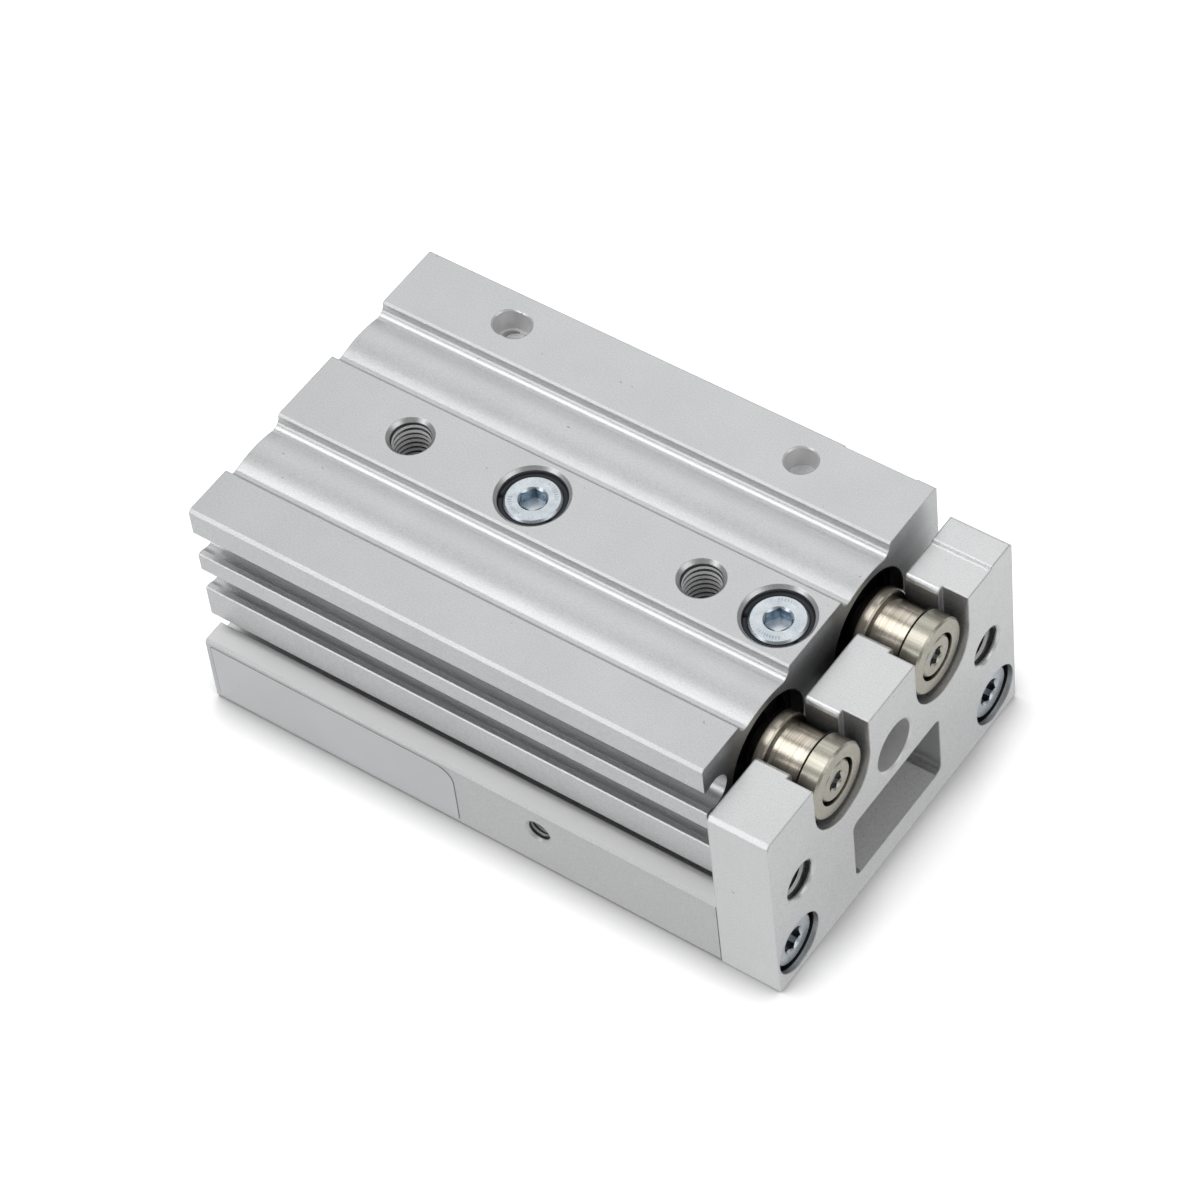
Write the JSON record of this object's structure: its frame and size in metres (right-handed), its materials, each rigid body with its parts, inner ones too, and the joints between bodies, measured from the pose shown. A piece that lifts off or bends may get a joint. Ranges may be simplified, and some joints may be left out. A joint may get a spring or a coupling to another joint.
{
  "type": "pneumatic slide table",
  "caption": "Pneumatic slide table with twin cylinders in one body and a channel-shaped table with end plate on a ball guide.",
  "frame": {"origin": "middle of the outline in X and Y, on the plane of the table's mounting face, with the table retracted", "axes": "+X along the stroke toward the end plate, +Y toward the air ports, +Z from the table to the body's mounting lands"},
  "size_m": [0.0818, 0.05, 0.032],
  "materials": {
    "anodised_aluminium": "clear anodised, satin",
    "turned_aluminium": "turned",
    "black_cover": "black anodised",
    "black_rubber": "moulded",
    "green_bumper": "cast",
    "spring_steel": "phosphated",
    "ground_steel": "ground",
    "steel_screw": "plated",
    "chromed_rod": "polished",
    "warm_steel": "turned, plated",
    "dark_plastic": "moulded",
    "magnet": "pressed",
    "wear_ring": "machined"
  },
  "bodies": {
    "cylinder": {"cylinder_body": "anodised_aluminium", "rod_cover_near": "black_cover", "rod_cover_far": "black_cover", "cover_seal_rings": "black_rubber", "rod_seals": "black_rubber", "cover_retaining_rings": "spring_steel", "front_bumpers": "green_bumper", "head_cap_near": "turned_aluminium", "head_cap_far": "turned_aluminium", "head_cap_seal_rings": "black_rubber", "head_cap_retaining_rings": "spring_steel", "rear_bumpers": "green_bumper", "guide_block": "ground_steel", "block_end_cap_rear": "dark_plastic", "block_end_cap_front": "dark_plastic", "block_wipers": "black_rubber", "end_cap_screws": "steel_screw", "guide_balls": "ground_steel", "block_screws": "steel_screw"},
    "slide_table": {"table": "anodised_aluminium", "guide_rail": "ground_steel", "rail_screws": "steel_screw", "end_plate": "anodised_aluminium", "end_plate_screws": "steel_screw", "piston_rod_near": "chromed_rod", "piston_rod_far": "chromed_rod", "piston_near": "turned_aluminium", "piston_far": "turned_aluminium", "piston_seals": "black_rubber", "piston_magnets": "magnet", "piston_wear_rings": "wear_ring", "rod_collar_near": "warm_steel", "rod_collar_far": "warm_steel", "rod_disc_near": "warm_steel", "rod_disc_far": "warm_steel", "rod_end_screws": "warm_steel"}
  },
  "joints": [
    {"name": "table_slide", "type": "slide", "parent": "cylinder", "child": "slide_table", "axis": [1, 0, 0], "range_m": [0, 0.03]}
  ]
}
